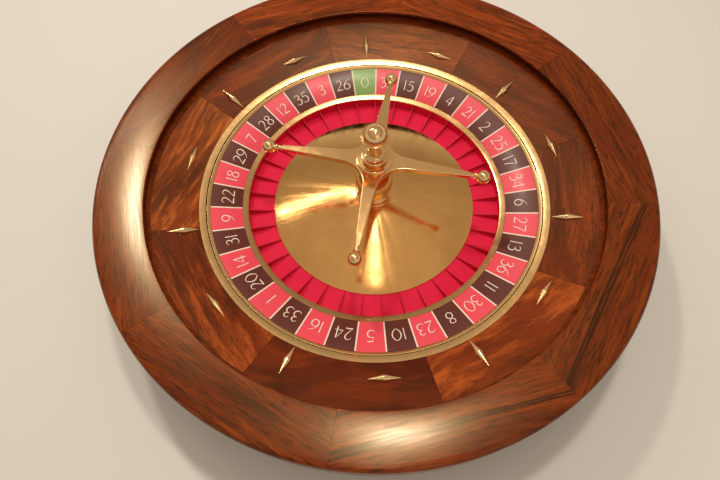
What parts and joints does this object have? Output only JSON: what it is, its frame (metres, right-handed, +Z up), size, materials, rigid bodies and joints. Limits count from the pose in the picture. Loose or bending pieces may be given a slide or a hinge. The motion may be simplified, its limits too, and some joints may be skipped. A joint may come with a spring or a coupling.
{
  "type": "roulette wheel",
  "caption": "Casino roulette wheel: a wooden bowl with a sloping apron and brass deflectors round a turning wheel head with numbered pockets, brass cone and turret.",
  "frame": {"origin": "middle of the circle of feet, on the surface that the feet stand on", "axes": "+Z up along the wheel head's axis, -Y towards the viewer of the picture, +X to the viewer's right"},
  "size_m": [0.8128, 0.8128, 0.2528],
  "materials": {
    "rim_wood": "polished varnish",
    "apron_wood": "polished varnish",
    "track_wood": "satin varnish",
    "body_wood": "satin varnish",
    "plywood": "plain",
    "brass": "polished",
    "number_enamel": "gloss",
    "pocket_red": "satin",
    "steel": "turned",
    "bronze": "turned",
    "rubber": "matte"
  },
  "bodies": {
    "bowl": {"base_board": "plywood", "bowl_body": "body_wood", "rim_segment_1": "rim_wood", "rim_segment_2": "rim_wood", "rim_segment_3": "rim_wood", "rim_segment_4": "rim_wood", "rim_segment_5": "rim_wood", "rim_segment_6": "rim_wood", "rim_segment_7": "rim_wood", "rim_segment_8": "rim_wood", "ball_track_ring": "track_wood", "apron_segment_1": "apron_wood", "apron_segment_2": "apron_wood", "apron_segment_3": "apron_wood", "apron_segment_4": "apron_wood", "apron_segment_5": "apron_wood", "apron_segment_6": "apron_wood", "apron_segment_7": "apron_wood", "apron_segment_8": "apron_wood", "apron_trim_ring": "brass", "deflector_1": "brass", "deflector_2": "brass", "deflector_3": "brass", "deflector_4": "brass", "deflector_5": "brass", "deflector_6": "brass", "deflector_7": "brass", "deflector_8": "brass", "deflector_9": "brass", "deflector_10": "brass", "deflector_11": "brass", "deflector_12": "brass", "deflector_13": "brass", "deflector_14": "brass", "spindle_flange": "steel", "spindle": "steel", "bearing_inner_race": "steel"},
    "levelling_foot_1": {"levelling_foot_1": "rubber"},
    "levelling_foot_2": {"levelling_foot_2": "rubber"},
    "levelling_foot_3": {"levelling_foot_3": "rubber"},
    "levelling_foot_4": {"levelling_foot_4": "rubber"},
    "wheel_head": {"rotor_base_disc": "plywood", "rotor_outer_ring": "body_wood", "rotor_rim_band": "brass", "number_ring": "number_enamel", "inner_brass_ring": "brass", "pocket_floor": "pocket_red", "pocket_back_ring": "pocket_red", "pocket_frets": "pocket_red", "cone": "brass", "rotor_hub": "steel", "bearing_outer_race": "steel", "lower_bush": "bronze", "turret_column": "brass", "turret_cross": "brass", "turret_collar": "brass", "turret_finial": "brass"},
    "bearing_cage": {"bearing_cage": "bronze"}
  },
  "joints": [
    {"name": "wheel_spin", "type": "hinge", "parent": "bowl", "child": "wheel_head", "pos_m": [0, 0, 0.09], "axis": [0, 0, 1], "continuous": true},
    {"name": "cage_spin", "type": "hinge", "parent": "bowl", "child": "bearing_cage", "pos_m": [0, 0, 0.09], "axis": [0, 0, 1], "continuous": true},
    {"name": "foot_1_screw", "type": "slide", "parent": "bowl", "child": "levelling_foot_1", "axis": [0, 0, -1], "range_m": [0, 0.008]},
    {"name": "foot_2_screw", "type": "slide", "parent": "bowl", "child": "levelling_foot_2", "axis": [0, 0, -1], "range_m": [0, 0.008]},
    {"name": "foot_3_screw", "type": "slide", "parent": "bowl", "child": "levelling_foot_3", "axis": [0, 0, -1], "range_m": [0, 0.008]},
    {"name": "foot_4_screw", "type": "slide", "parent": "bowl", "child": "levelling_foot_4", "axis": [0, 0, -1], "range_m": [0, 0.008]}
  ],
  "couplings": [
    {"joint": "cage_spin", "follows": "wheel_spin", "ratio": 0.5833}
  ]
}
